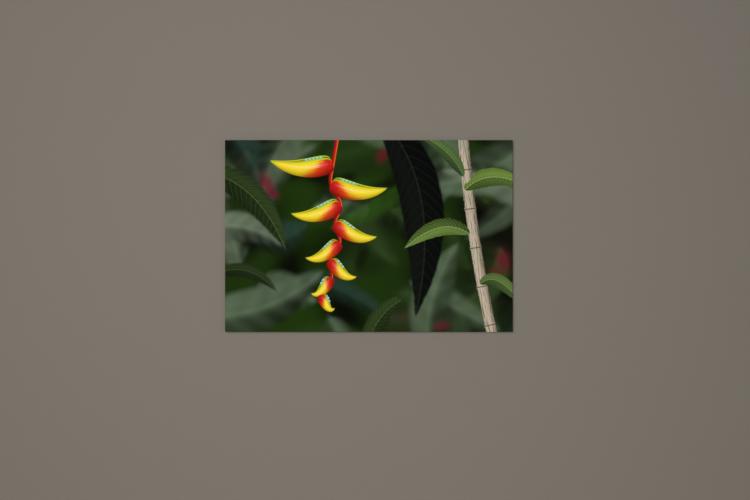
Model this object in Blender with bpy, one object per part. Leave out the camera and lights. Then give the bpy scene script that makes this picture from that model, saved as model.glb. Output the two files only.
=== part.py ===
"""Wall picture: a printed canvas stretched over a keyed pine frame, ready to hang.

Metres, +Z up. The wall is the plane y = 0 and the picture faces -Y, so a piece
nearer the viewer has a lower y. The origin is the middle of the picture, on the
wall. An inset is a distance inwards from the picture's outer edge.
"""

import math

import bmesh
import bpy

# ---- Driving dimensions ------------------------------------------------------
PICTURE_WIDTH = 1.500
PICTURE_HEIGHT = 1.000
GAP = 0.0003  # air between two pieces that touch

CANVAS_THICKNESS = 0.0006
CANVAS_MARGIN = 0.026  # width of canvas turned over the back of the bars
CANVAS_FRONT_RADIUS = 0.003  # the canvas's bend over the front edge of the bars
CANVAS_BACK_RADIUS = 0.0015  # and over their back edge
CANVAS_CORNER_RADIUS = 0.0012  # the picture's four corners, seen from the front
CANVAS_INNER_CORNER = 0.0002  # the same corners where the canvas lies flat

BAR_WIDTH = 0.045
BAR_DEPTH = 0.018
LIP_WIDTH = 0.008  # the raised outer edge that alone carries the canvas
LIP_RISE = 0.0025  # the step down behind the lip
BEVEL_FALL = 0.002  # the further slope down to the bar's inner edge
BAR_EASING = 0.0015  # rounding of the bar's inner edges

BRACE_WIDTH = 0.040
BRACE_DEPTH = 0.012
BRACE_EASING = 0.002
TENON_WIDTH = 0.022
TENON_THICKNESS = 0.006
TENON_LENGTH = 0.022

KEY_LENGTH = 0.045
KEY_THICKNESS = 0.0035
KEY_TIP_WIDTH = 0.005
KEY_BUTT_WIDTH = 0.020
KEY_SEAT = 0.0125  # how far a key's tip reaches into its slot
KEY_BACK_LAYER = 0.002  # depth of the first layer of keys, from the bars' back
KEY_FRONT_LAYER = 0.0078  # depth of the second layer
KEY_EASING = 0.0004

HANGER_SPAN = 0.750  # distance between the two sawtooth hangers
HANGER_INSET = 0.0365
HANGER_LENGTH = 0.060
HANGER_HEIGHT = 0.012
HANGER_THICKNESS = 0.001
HANGER_RISE = 0.0012  # how far its toothed middle stands off the wood
HANGER_LAND = 0.0005  # plain strip beside the last tooth
HANGER_RAMP = 0.004  # length over which the strip comes down to the wood
HANGER_TIP_ANGLE = 15  # degrees of each round end left as a short flat
TOOTH_COUNT = 11
TOOTH_PITCH = 0.0026
TOOTH_HEIGHT = 0.0018

NAIL_HEAD_RADIUS = 0.0022
NAIL_HEAD_RIM = 0.0004
NAIL_HEAD_DOME = 0.0006
NAIL_RADIUS = 0.0007
NAIL_LENGTH = 0.0105
NAIL_POINT = 0.0016

PAD_RADIUS = 0.009
PAD_THICKNESS = 0.003
PAD_EASING = 0.0008
PAD_INSET = 0.013

PAD_SIDES = 32
NAIL_SIDES = 16
DOME_STEPS = 3
SMOOTH_ANGLE = math.radians(40)  # edges sharper than this stay crisp

# ---- Places worked out from them ---------------------------------------------
HALF_WIDTH = PICTURE_WIDTH / 2
HALF_HEIGHT = PICTURE_HEIGHT / 2
CANVAS_BACK_Y = -(PAD_THICKNESS + GAP)
BAR_BACK_Y = CANVAS_BACK_Y - CANVAS_THICKNESS - GAP
BAR_FRONT_Y = BAR_BACK_Y - BAR_DEPTH
CANVAS_FRONT_Y = BAR_FRONT_Y - GAP - CANVAS_THICKNESS
BAR_OUTER_INSET = CANVAS_THICKNESS + GAP
BAR_INNER_INSET = BAR_OUTER_INSET + BAR_WIDTH
WINDOW_HALF_WIDTH = HALF_WIDTH - BAR_INNER_INSET  # the space inside the four bars
WINDOW_HALF_HEIGHT = HALF_HEIGHT - BAR_INNER_INSET
KEY_MOUTH_WIDTH = KEY_TIP_WIDTH + (KEY_BUTT_WIDTH - KEY_TIP_WIDTH) * KEY_SEAT / KEY_LENGTH
SIDES = (-1, 1)


# ---- Outlines ----------------------------------------------------------------
def arc(centre, radius, start, end, steps):
    """Points on a circle from one angle to another, in degrees, both ends included."""
    points = []
    for i in range(steps + 1):
        angle = math.radians(start + (end - start) * i / steps)
        points.append((centre[0] + radius * math.cos(angle), centre[1] + radius * math.sin(angle)))
    return points


def rounded_rectangle(half_a, half_b, radius, steps=2):
    """A rectangle about the origin with rounded corners, anticlockwise."""
    points = []
    for start, sign_a, sign_b in ((0, 1, 1), (90, -1, 1), (180, -1, -1), (270, 1, -1)):
        centre = (sign_a * (half_a - radius), sign_b * (half_b - radius))
        points += arc(centre, radius, start, start + 90, steps)
    return points


# ---- Bodies ------------------------------------------------------------------
def material(name, colour, roughness, metallic=0.0):
    made = bpy.data.materials.new(name)
    made.use_nodes = True
    shader = made.node_tree.nodes["Principled BSDF"]
    shader.inputs["Base Color"].default_value = (*colour, 1.0)
    shader.inputs["Roughness"].default_value = roughness
    shader.inputs["Metallic"].default_value = metallic
    made.diffuse_color = (*colour, 1.0)
    return made


def loft(name, loops, finish):
    """One closed body through a row of loops with equal point counts, capped at both ends."""
    count = len(loops[0])
    mesh = bpy.data.meshes.new(name)
    body = bmesh.new()
    rings = [[body.verts.new(point) for point in loop] for loop in loops]
    for ring, following in zip(rings, rings[1:]):
        for i in range(count):
            j = (i + 1) % count
            body.faces.new((ring[i], ring[j], following[j], following[i]))
    body.faces.new(reversed(rings[0]))
    body.faces.new(rings[-1])
    bmesh.ops.recalc_face_normals(body, faces=body.faces)
    body.to_mesh(mesh)
    body.free()
    mesh.materials.append(finish)
    piece = bpy.data.objects.new(name, mesh)
    bpy.context.collection.objects.link(piece)
    return piece


def shade_round(piece):
    piece.data.shade_smooth()
    piece.data.set_sharp_from_angle(angle=SMOOTH_ANGLE)


def turned(name, stations, sides, finish):
    """A round body on the Y axis: stations are (y, radius) from one end to the other."""
    loops = []
    for y, radius in stations:
        ring = arc((0, 0), radius, 0, 360 * (sides - 1) / sides, sides - 1)
        loops.append([(x, y, z) for x, z in ring])
    piece = loft(name, loops, finish)
    shade_round(piece)
    return piece


def block(name, low, high, finish):
    """A plain box between two corners."""
    outline = ((low[0], low[2]), (high[0], low[2]), (high[0], high[2]), (low[0], high[2]))
    return loft(name, [[(x, y, z) for x, z in outline] for y in (low[1], high[1])], finish)


def cut(piece, cutter):
    """Take the cutter's volume out of a piece; the cutter itself isn't part of the picture."""
    cutter.hide_render = True
    cutter.display_type = "WIRE"
    modifier = piece.modifiers.new("cut_" + cutter.name, "BOOLEAN")
    modifier.operation = "DIFFERENCE"
    modifier.solver = "EXACT"
    modifier.object = cutter


def ease(piece, width):
    """Break the sharp edges of a piece with a narrow chamfer."""
    modifier = piece.modifiers.new("easing", "BEVEL")
    modifier.width = width
    modifier.segments = 1
    modifier.limit_method = "ANGLE"


# ---- The canvas --------------------------------------------------------------
def canvas_profile(offset):
    """Inset and y of the canvas from its back margin to its face; offset goes into its thickness."""
    back_centre = (CANVAS_BACK_RADIUS, CANVAS_BACK_Y - CANVAS_BACK_RADIUS)
    front_centre = (CANVAS_FRONT_RADIUS, CANVAS_FRONT_Y + CANVAS_FRONT_RADIUS)
    return (
        [(CANVAS_MARGIN, CANVAS_BACK_Y - offset)]
        + arc(back_centre, CANVAS_BACK_RADIUS - offset, 90, 180, 3)
        + arc(front_centre, CANVAS_FRONT_RADIUS - offset, 180, 270, 5)
    )


def canvas_loop(inset, y):
    radius = max(CANVAS_CORNER_RADIUS - inset, CANVAS_INNER_CORNER)
    outline = rounded_rectangle(HALF_WIDTH - inset, HALF_HEIGHT - inset, radius)
    return [(x, y, z) for x, z in outline]


def make_canvas(finish):
    """A thin tray: the face, four sides and the margins turned over behind."""
    inside = canvas_profile(CANVAS_THICKNESS)[::-1]
    outside = canvas_profile(0)
    piece = loft("canvas", [canvas_loop(*point) for point in inside + outside], finish)
    shade_round(piece)
    return piece


# ---- The stretcher -----------------------------------------------------------
def bar_profile():
    """Inset and y round a bar's section: round outer edges, a raised lip and a sloping front."""
    outer, inner = BAR_OUTER_INSET, BAR_INNER_INSET
    front_radius = CANVAS_FRONT_RADIUS - CANVAS_THICKNESS - GAP
    back_radius = CANVAS_BACK_RADIUS - CANVAS_THICKNESS - GAP
    step_y = BAR_FRONT_Y + LIP_RISE
    inner_front_y = step_y + BEVEL_FALL
    return (
        arc((outer + back_radius, BAR_BACK_Y - back_radius), back_radius, 90, 180, 3)
        + arc((outer + front_radius, BAR_FRONT_Y + front_radius), front_radius, 180, 270, 4)
        + arc((outer + LIP_WIDTH, BAR_FRONT_Y + LIP_RISE / 2), LIP_RISE / 2, 270, 360, 2)
        + arc((outer + LIP_WIDTH + LIP_RISE, step_y - LIP_RISE / 2), LIP_RISE / 2, 180, 90, 2)
        + arc((inner - BAR_EASING, inner_front_y + BAR_EASING), BAR_EASING, 270, 360, 2)
        + arc((inner - BAR_EASING, BAR_BACK_Y - BAR_EASING), BAR_EASING, 0, 90, 2)
    )


def make_bar(name, length, turn, place, finish):
    """A bar along X with its outer edge at z = 0 and mitred ends, then turned into place."""
    loops = []
    for side in SIDES:
        loops.append([(side * (length / 2 - inset - GAP), y, -inset) for inset, y in bar_profile()])
    piece = loft(name, loops, finish)
    piece.location = place
    piece.rotation_euler = (0, math.radians(turn), 0)
    shade_round(piece)
    return piece


def make_bars(finish):
    return {
        "top": make_bar("bar_top", PICTURE_WIDTH, 0, (0, 0, HALF_HEIGHT), finish),
        "right": make_bar("bar_right", PICTURE_HEIGHT, 90, (HALF_WIDTH, 0, 0), finish),
        "bottom": make_bar("bar_bottom", PICTURE_WIDTH, 180, (0, 0, -HALF_HEIGHT), finish),
        "left": make_bar("bar_left", PICTURE_HEIGHT, -90, (-HALF_WIDTH, 0, 0), finish),
    }


def make_brace(bars, finish):
    """The upright between the long bars, its back level with theirs, tenoned at both ends."""
    shoulder = WINDOW_HALF_HEIGHT - GAP
    middle_y = BAR_BACK_Y - BRACE_DEPTH / 2
    tenon = rounded_rectangle(TENON_WIDTH / 2, TENON_THICKNESS / 2, BRACE_EASING / 4)
    body = rounded_rectangle(BRACE_WIDTH / 2, BRACE_DEPTH / 2, BRACE_EASING)
    stations = (
        (tenon, -shoulder - TENON_LENGTH),
        (tenon, -shoulder),
        (body, -shoulder),
        (body, shoulder),
        (tenon, shoulder),
        (tenon, shoulder + TENON_LENGTH),
    )
    loft("brace", [[(x, middle_y + y, z) for x, y in outline] for outline, z in stations], finish)

    reach = TENON_LENGTH + 2 * GAP
    for side, bar in ((1, bars["top"]), (-1, bars["bottom"])):
        ends = sorted((side * (shoulder - TENON_LENGTH), side * (shoulder + reach)))
        half_x = TENON_WIDTH / 2 + GAP
        half_y = TENON_THICKNESS / 2 + GAP
        low = (-half_x, middle_y - half_y, ends[0])
        high = (half_x, middle_y + half_y, ends[1])
        cut(bar, block("mortise_" + bar.name, low, high, finish))


# ---- The corner keys ---------------------------------------------------------
def place_in_corner(along, across, side_x, side_z, on_long_bar):
    """World x and z of a point in a corner: along the bar the key lies on, across from its edge."""
    if on_long_bar:
        return side_x * (WINDOW_HALF_WIDTH + along), side_z * (WINDOW_HALF_HEIGHT + across)
    return side_x * (WINDOW_HALF_WIDTH + across), side_z * (WINDOW_HALF_HEIGHT + along)


def corner_prism(name, outline, depths, corner, finish):
    """A flat prism over an outline of (along, across) points, between two depths from the bars' back."""
    loops = []
    for depth in depths:
        loops.append([])
        for along, across in outline:
            x, z = place_in_corner(along, across, *corner)
            loops[-1].append((x, BAR_BACK_Y - depth, z))
    return loft(name, loops, finish)


def make_key(name, bar, depth, corner, finish):
    """A wedge along one bar's inner edge, and the slot that takes its tip in the other bar."""
    tip, butt = KEY_SEAT, KEY_SEAT - KEY_LENGTH
    wedge = ((tip, -GAP), (butt, -GAP), (butt, -GAP - KEY_BUTT_WIDTH), (tip, -GAP - KEY_TIP_WIDTH))
    ease(corner_prism(name, wedge, (depth, depth + KEY_THICKNESS), corner, finish), KEY_EASING)

    floor = KEY_SEAT + GAP
    mouth = -(KEY_MOUTH_WIDTH + 3 * GAP)
    clear = BAR_WIDTH / 2  # the slot runs out through the bar's mitre and its inner edge
    slot = ((floor, clear), (-clear, clear), (-clear, mouth), (floor, mouth))
    slot_depths = (depth - GAP, depth + KEY_THICKNESS + GAP)
    cut(bar, corner_prism("slot_" + name, slot, slot_depths, corner, finish))


def make_keys(bars, finish):
    """Two keys in each corner, in two layers so that they pass each other."""
    for side_z, end, long_bar in ((1, "top", bars["top"]), (-1, "bottom", bars["bottom"])):
        for side_x, side, short_bar in ((1, "right", bars["right"]), (-1, "left", bars["left"])):
            name = f"key_{end}_{side}_"
            make_key(name + "a", short_bar, KEY_BACK_LAYER, (side_x, side_z, True), finish)
            make_key(name + "b", long_bar, KEY_FRONT_LAYER, (side_x, side_z, False), finish)


# ---- The hanging hardware ----------------------------------------------------
def hanger_stations():
    """x, lower edge and rise along the strip: round ends, ramps up, and teeth in the middle."""
    radius = HANGER_HEIGHT / 2
    toothed = TOOTH_COUNT * TOOTH_PITCH / 2
    land = toothed + HANGER_LAND
    end = [(land, -radius, HANGER_RISE), (land + HANGER_RAMP, -radius, 0.0)]
    for x, low in arc((HANGER_LENGTH / 2 - radius, 0), radius, -90, -HANGER_TIP_ANGLE, 4):
        end.append((x, low, 0.0))
    teeth = []
    for i in range(2 * TOOTH_COUNT + 1):
        notch = TOOTH_HEIGHT if i % 2 else 0.0
        teeth.append((-toothed + i * TOOTH_PITCH / 2, -radius + notch, HANGER_RISE))
    return [(-x, low, rise) for x, low, rise in reversed(end)] + teeth + end


def make_strip(name, place, steel):
    """A sawtooth strip: flat ends against the wood, and a raised middle with a toothed lower edge."""
    front_y = BAR_BACK_Y + GAP
    loops = []
    for x, low, rise in hanger_stations():
        high = HANGER_HEIGHT / 2 if rise else -low
        near, far = front_y + rise, front_y + rise + HANGER_THICKNESS
        loops.append([(x, near, low), (x, far, low), (x, far, high), (x, near, high)])
    strip = loft(name, loops, steel)
    strip.location = place
    return strip


def make_nail(name, place, through, steel):
    """A round-headed nail along Y, and its hole in each piece that it goes through."""
    head_y = BAR_BACK_Y + GAP + HANGER_THICKNESS + GAP
    point_y = head_y - NAIL_LENGTH
    rim_y = head_y + NAIL_HEAD_RIM
    stations = [
        (point_y, NAIL_RADIUS / 4),
        (point_y + NAIL_POINT, NAIL_RADIUS),
        (head_y, NAIL_RADIUS),
        (head_y, NAIL_HEAD_RADIUS),
        (rim_y, NAIL_HEAD_RADIUS),
    ]
    for i in range(1, DOME_STEPS + 1):
        angle = math.radians(90 * i / (DOME_STEPS + 1))
        dome_y = rim_y + NAIL_HEAD_DOME * math.sin(angle)
        stations.append((dome_y, NAIL_HEAD_RADIUS * math.cos(angle)))
    turned(name, stations, NAIL_SIDES, steel).location = place

    hole = ((point_y - GAP, NAIL_RADIUS + GAP), (0, NAIL_RADIUS + GAP))
    drill = turned("drill_" + name, hole, NAIL_SIDES, steel)
    drill.location = place
    for piece in through:
        cut(piece, drill)


def make_hangers(bar, steel):
    """Two sawtooth hangers on the back of the top bar, a nail through each of their flat ends."""
    nail_x = (HANGER_LENGTH - HANGER_HEIGHT) / 2
    for side_x, side in ((-1, "left"), (1, "right")):
        centre_x, centre_z = side_x * HANGER_SPAN / 2, HALF_HEIGHT - HANGER_INSET
        strip = make_strip(f"hanger_{side}", (centre_x, 0, centre_z), steel)
        for end_x, end in ((-1, "left"), (1, "right")):
            place = (centre_x + end_x * nail_x, 0, centre_z)
            make_nail(f"hanger_{side}_nail_{end}", place, (bar, strip), steel)


def make_pads(rubber):
    """Four round bumpers on the back margins, whose flat backs touch the wall."""
    stations = [
        (-PAD_THICKNESS, PAD_RADIUS - PAD_EASING / 2),
        (-PAD_THICKNESS + PAD_EASING / 2, PAD_RADIUS),
    ]
    for radius, y in arc((PAD_RADIUS - PAD_EASING, -PAD_EASING), PAD_EASING, 0, 90, 3):
        stations.append((y, radius))
    for side_z, end in ((1, "top"), (-1, "bottom")):
        for side_x, side in ((1, "right"), (-1, "left")):
            pad = turned(f"pad_{end}_{side}", stations, PAD_SIDES, rubber)
            pad.location = (side_x * (HALF_WIDTH - PAD_INSET), 0, side_z * (HALF_HEIGHT - PAD_INSET))


def main():
    for old in list(bpy.data.objects):
        bpy.data.objects.remove(old)
    print_ink = material("printed_canvas", (0.045, 0.065, 0.030), 0.80)
    pine = material("stretcher_pine", (0.62, 0.44, 0.25), 0.60)
    key_wood = material("key_wood", (0.72, 0.57, 0.37), 0.62)
    steel = material("zinc_steel", (0.62, 0.62, 0.60), 0.35, metallic=1.0)
    rubber = material("pad_rubber", (0.03, 0.03, 0.03), 0.75)

    make_canvas(print_ink)
    bars = make_bars(pine)
    make_brace(bars, pine)
    make_keys(bars, key_wood)
    make_hangers(bars["top"], steel)
    make_pads(rubber)


main()
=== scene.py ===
"""The looks of a stretched canvas picture: printed cloth, pine bars, keys, staples, hangers."""

import math

import bpy
import numpy as np
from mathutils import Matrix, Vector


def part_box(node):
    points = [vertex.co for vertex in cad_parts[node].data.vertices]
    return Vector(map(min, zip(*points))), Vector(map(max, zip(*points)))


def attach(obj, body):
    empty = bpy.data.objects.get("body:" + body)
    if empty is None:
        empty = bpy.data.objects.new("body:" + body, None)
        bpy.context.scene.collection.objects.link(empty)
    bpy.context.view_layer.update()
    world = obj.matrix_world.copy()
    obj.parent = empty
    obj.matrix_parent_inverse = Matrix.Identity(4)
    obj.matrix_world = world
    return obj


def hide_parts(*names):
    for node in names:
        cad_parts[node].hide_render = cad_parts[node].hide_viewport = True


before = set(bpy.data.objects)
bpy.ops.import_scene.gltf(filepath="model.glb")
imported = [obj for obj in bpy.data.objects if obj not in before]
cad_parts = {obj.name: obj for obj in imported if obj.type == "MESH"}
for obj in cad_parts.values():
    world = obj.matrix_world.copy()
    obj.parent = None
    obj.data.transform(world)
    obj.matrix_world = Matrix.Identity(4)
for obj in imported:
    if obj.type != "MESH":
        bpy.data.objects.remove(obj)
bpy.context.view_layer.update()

# ---- Sizes in metres; the face looks along -Y and the wall is at y = 0 ---------------
CANVAS_LOW, CANVAS_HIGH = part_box("canvas")
HALF_WIDTH, HALF_HEIGHT = CANVAS_HIGH.x, CANVAS_HIGH.z
FACE_Y, MARGIN_Y = CANVAS_LOW.y, CANVAS_HIGH.y

CLOTH = 0.0006  # thickness of the primed canvas
FRONT_BEND = 0.003  # its outer radius over the front edge of the bars
BACK_BEND = 0.0015
CORNER_BEND = 0.0012
MARGIN = 0.026  # the cloth turned over the back of the bars
INK_BLEED = 0.007  # the print runs this far onto the margin
GRID = 0.008  # spacing of the cloth's mesh lines
THREAD = 0.0006  # spacing of the weave's threads


def colour(red, green, blue):
    """A linear colour from its 0 to 255 display values."""
    shown = np.array((red, green, blue)) / 255
    return tuple(np.where(shown <= 0.04045, shown / 12.92, ((shown + 0.055) / 1.055) ** 2.4))


# ---- Shader arithmetic ---------------------------------------------------------------
class Value:
    """An output in a finish; arithmetic on it adds Math nodes, and plain numbers mix in."""

    def __init__(self, finish, socket):
        self.finish, self.socket = finish, socket

    def __add__(self, other):
        return self.finish.math("ADD", self, other)

    def __sub__(self, other):
        return self.finish.math("SUBTRACT", self, other)

    def __rsub__(self, other):
        return self.finish.math("SUBTRACT", other, self)

    def __mul__(self, other):
        return self.finish.math("MULTIPLY", self, other)

    def __truediv__(self, other):
        return self.finish.math("DIVIDE", self, other)

    def __pow__(self, power):
        return self.finish.math("POWER", self, power)

    def __abs__(self):
        return self.finish.math("ABSOLUTE", self)

    __radd__ = __add__
    __rmul__ = __mul__


class Finish:
    """A material under construction: node() adds any node and returns one of its outputs.

    Nodes are evaluated in the order they are added, and a value is kept until its last use, so
    each element of a design is laid on before the next one's values are read.
    """

    def __init__(self, name, **uniform):
        self.material = bpy.data.materials.new(name)
        self.material.use_nodes = True
        self.tree = self.material.node_tree
        self.shader = self.tree.nodes["Principled BSDF"]
        self.wear(**uniform)

    def node(self, kind, settings=None, sockets=None, output=0):
        """Add a node of a type: its settings go in first, then each socket's value or link."""
        made = self.tree.nodes.new("ShaderNode" + kind)
        for name, value in (settings or {}).items():
            setattr(made, name, value)
        for name, value in (sockets or {}).items():
            self.feed(made.inputs[name], value)
        return Value(self, made.outputs[output])

    def feed(self, socket, value):
        """Link a value to a socket, or set a plain number or colour on it."""
        if isinstance(value, Value):
            self.tree.links.new(value.socket, socket)
        elif socket.type == "RGBA":
            socket.default_value = (*value, 1.0)
        else:
            socket.default_value = value

    def math(self, operation, first, second=0.0):
        """One step of arithmetic; those on one number leave the second alone."""
        return self.node("Math", {"operation": operation}, {0: first, 1: second})

    def clamp(self, value, low=0.0, high=1.0):
        """The value, held between low and high."""
        return self.node("Clamp", None, {0: value, 1: low, 2: high})

    def step(self, value, low, high):
        """0 before low, 1 past high and a smooth change between; low may be the greater."""
        ends = (low, high, 0.0, 1.0) if low < high else (high, low, 1.0, 0.0)
        sockets = dict(enumerate((value, *ends)))
        return self.node("MapRange", {"interpolation_type": "SMOOTHSTEP"}, sockets)

    def mix(self, first, second, share):
        """Colours from first to second by a share of 0 to 1."""
        return self.node("Mix", {"data_type": "RGBA"}, {0: share, 6: first, 7: second}, 2)

    def vector(self, x=0.0, y=0.0, z=0.0):
        """A vector of three values."""
        return self.node("CombineXYZ", None, {0: x, 1: y, 2: z})

    def split(self, vector):
        """The three values of a vector."""
        parts = self.node("SeparateXYZ", None, {0: vector}).socket.node.outputs
        return [Value(self, part) for part in parts]

    def place(self):
        """x, y and z in the picture's own frame."""
        return self.split(self.node("TexCoord", output=3))

    def stored(self, name):
        """A number stored on the mesh."""
        return self.node("Attribute", {"attribute_name": name}, output=2)

    def noise(self, place, scale=1.0, detail=2.0, roughness=0.5):
        """Soft noise about 0.5, of a vector, or of one value for streaks where that is level."""
        level = place.socket.type == "VALUE"
        sockets = {"W" if level else "Vector": place, "Scale": scale}
        sockets |= {"Detail": detail, "Roughness": roughness}
        return self.node("TexNoise", {"noise_dimensions": "1D" if level else "3D"}, sockets)

    def ridge(self, value):
        """A saw wave of period 1: 1 at whole numbers, falling evenly to 0 halfway between."""
        return abs(self.math("FRACT", value) - 0.5) * 2

    def bump(self, height, distance, strength=1.0):
        """A normal tipped by a height, where a height of 1 stands for a distance."""
        sockets = {"Height": height, "Distance": distance, "Strength": strength}
        return self.node("Bump", None, sockets)

    def wear(self, **links):
        """Set or join values to the shader's sockets of those names and return the material."""
        for socket, value in links.items():
            self.feed(self.shader.inputs[socket.replace("_", " ")], value)
        return self.material


# ---- Meshes --------------------------------------------------------------------------
def make_piece(name, points, faces, materials, smooth=True):
    """A mesh piece of the picture from its points and faces."""
    mesh = bpy.data.meshes.new(name)
    mesh.from_pydata(np.asarray(points).tolist(), [], [list(face) for face in faces])
    mesh.polygons.foreach_set("use_smooth", np.full(len(mesh.polygons), smooth))
    for material in materials:
        mesh.materials.append(material)
    piece = bpy.data.objects.new(name, mesh)
    bpy.context.collection.objects.link(piece)
    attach(piece, "root")
    return piece


def tube_faces(rings, sides):
    """Quads of a closed profile carried through a number of rings, and a flat cap at each end."""
    ring, side = np.meshgrid(np.arange(rings - 1), np.arange(sides), indexing="ij")
    first = ring * sides + side
    second = ring * sides + (side + 1) % sides
    quads = np.stack([first, second, second + sides, first + sides], -1).reshape(-1, 4)
    return quads.tolist() + [range(sides)[::-1], range((rings - 1) * sides, rings * sides)]


def grid_faces(index):
    """Quads between neighbouring points of a grid of point numbers."""
    corners = (index[:-1, :-1], index[:-1, 1:], index[1:, 1:], index[1:, :-1])
    return np.stack(corners, -1).reshape(-1, 4)


def store(mesh, name, values, colours=False):
    """Keep one number or colour at each corner of each face."""
    kind, key = ("FLOAT_COLOR", "color") if colours else ("FLOAT", "value")
    attribute = mesh.attributes.new(name, kind, "CORNER")
    attribute.data.foreach_set(key, values.astype(np.float32).ravel())


# ---- The design: where its stems and blades run on the flat cloth ----------------------
RUN_ON = 0.02  # how far a stem's first and last stretches run on past its ends
BRACTS = 8
SPRAY_TOP = (-0.150, 0.60)


def curve(*points):
    """A Bezier curve of any number of control points, as rows of (u, v)."""
    t = np.linspace(0, 1, 40)[:, None]
    order = len(points) - 1
    weights = [math.comb(order, i) * t**i * (1 - t) ** (order - i) for i in range(order + 1)]
    return sum(weight * np.array(point) for weight, point in zip(weights, points))


def beside(path, u, v):
    """Distance run along a path, signed distance to its left, plain distance, and its length.

    The nearest stretch decides.
    """
    steps = np.diff(path, axis=0)
    lengths = np.hypot(*steps.T)
    starts = np.concatenate([[0], np.cumsum(lengths)])
    nearest, gap = np.full(len(u), np.inf), np.full(len(u), np.inf)
    run, side = np.zeros(len(u)), np.zeros(len(u))
    last = len(steps) - 1
    for i, (foot, way, length) in enumerate(zip(path, steps / lengths[:, None], lengths)):
        ahead = (u - foot[0]) * way[0] + (v - foot[1]) * way[1]
        left = (v - foot[1]) * way[0] - (u - foot[0]) * way[1]
        held = np.clip(ahead, -RUN_ON * (i == 0), length + RUN_ON * (i == last))
        off = np.hypot(ahead - held, left)
        closer = off < nearest
        nearest = np.where(closer, off, nearest)
        run = np.where(closer, starts[i] + held, run)
        side = np.where(closer, np.copysign(off, left), side)
        gap = np.minimum(gap, np.hypot(ahead - np.clip(ahead, 0, length), left))
    return run, side, gap, starts[-1]


def spray_nodes():
    """The bends of the hanging stem, from the top down: a slow sway with a zigzag on it."""
    k = np.arange(BRACTS)
    u = -0.205 + 0.045 * np.sin(k * 0.55) + 0.017 * (-1.0) ** k
    v = 0.375 - 0.1085 * k + 0.0016 * k**2
    return np.stack([u, v], -1)


def bract_spine(node, k):
    """A bract's spine: out to one side, drooping more the lower it hangs, its tip curled up."""
    side = 1 if k % 2 else -1
    length = 0.335 * (1 - 0.083 * k)
    droop = math.radians(5 + 7.5 * k)
    out = np.array((side * math.cos(droop), -math.sin(droop)))
    up = np.array((0.0, 1.0))
    return curve(node, node + out * length * 0.55 - up * 0.045, node + out * length + up * 0.05)


def smooth_line(points, count=8):
    """A smooth line through points: between each two, a cubic that follows their neighbours."""
    ends = [2 * points[0] - points[1], 2 * points[-1] - points[-2]]
    p = np.vstack([ends[:1], points, ends[1:]])
    t = np.linspace(0, 1, count, endpoint=False)[:, None, None]
    a, b, c, d = p[:-3], p[1:-2], p[2:-1], p[3:]
    bends = 2 * a - 5 * b + 4 * c - d, 3 * b - a - 3 * c + d
    line = b + t / 2 * (c - a + t * (bends[0] + t * bends[1]))
    return np.vstack([line.transpose(1, 0, 2).reshape(-1, 2), points[-1:]])


NODES = spray_nodes()
STEM = smooth_line(np.vstack([SPRAY_TOP, NODES]))
CANE = curve((0.665, -0.60), (0.53, -0.05), (0.485, 0.60))
BLADES = {  # group: (spine, half width, 1 or -1 as its sunny or upper side is left, tone 0 to 1)
    "far_leaf": [
        (curve((0.06, 0.62), (0.40, 0.26), (0.24, -0.43)), 0.120, -1, 0.0),
        (curve((-0.88, 0.34), (-0.58, 0.30), (-0.43, -0.08)), 0.080, 1, 0.9),
        (curve((-0.02, -0.64), (0.02, -0.36), (0.26, -0.30)), 0.060, 1, 1.0),
        (curve((-0.80, -0.20), (-0.62, -0.12), (-0.47, -0.30)), 0.045, 1, 0.7),
    ],
    "near_leaf": [
        (curve((0.525, 0.01), (0.38, 0.115), (0.185, -0.065)), 0.046, 1, 0.8),
        (curve((0.500, 0.24), (0.63, 0.37), (0.83, 0.25)), 0.049, 1, 1.0),
        (curve((0.578, -0.25), (0.67, -0.17), (0.80, -0.36)), 0.038, 1, 0.4),
        (curve((0.495, 0.31), (0.42, 0.47), (0.25, 0.53)), 0.036, -1, 0.2),
    ],
}
for group, first in (("right_bract", 1), ("left_bract", 0)):
    BLADES[group] = [
        (bract_spine(NODES[k], k), 0.049 * (1 - 0.065 * k), 1 if k % 2 else -1, k / BRACTS)
        for k in range(first, BRACTS, 2)
    ]


def design_fields(u, v):
    """Every stored number of the design at each point of the flat cloth.

    Of each group the nearest blade counts; guard is how much nearer it is than the next one.
    """
    fields = {}
    for name, path in (("stem", STEM), ("cane", CANE)):
        fields[f"{name}_run"], fields[f"{name}_side"], *_ = beside(path, u, v)
    for group, blades in BLADES.items():
        rows = []
        for path, half, flip, tone in blades:
            run, side, gap, length = beside(path, u, v)
            row = gap - half, run / length, side * flip, half, length, tone
            rows.append(np.broadcast_arrays(*row))
        rows = np.array(rows)
        nearest = rows[:, 0].argmin(0)
        picked = rows[nearest, :, np.arange(len(u))].T
        guard = np.partition(rows[:, 0], 1, axis=0)[1] - picked[0]
        for part, values in zip(("along", "side", "half", "length", "tone"), picked[1:]):
            fields[f"{group}_{part}"] = values
        fields[f"{group}_guard"] = guard
    return fields


# ---- The design: its soft backdrop -----------------------------------------------------
BACKDROP_SEED = 4
NIGHT, SHADE, DEEP = colour(6, 8, 4), colour(19, 27, 13), colour(12, 17, 8)
FOREST, FERN, MOSS = colour(30, 52, 11), colour(46, 82, 18), colour(54, 76, 38)
OLIVE, TEAL, SAGE = colour(60, 58, 40), colour(44, 68, 60), colour(98, 117, 92)
PALE, CRIMSON = colour(128, 144, 120), colour(108, 8, 42)
FAR_TINTS = (FOREST, MOSS, TEAL, OLIVE, FOREST, FERN)
COOL_TINTS = (SAGE, TEAL, SAGE, MOSS, PALE)  # left of the middle
GREEN_TINTS = (FERN, FOREST, MOSS, SAGE, FERN)


def smooth_step(low, high, value):
    """0 before low, 1 past high and a smooth change between."""
    t = np.clip((value - low) / (high - low), 0, 1)
    return t * t * (3 - 2 * t)


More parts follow.
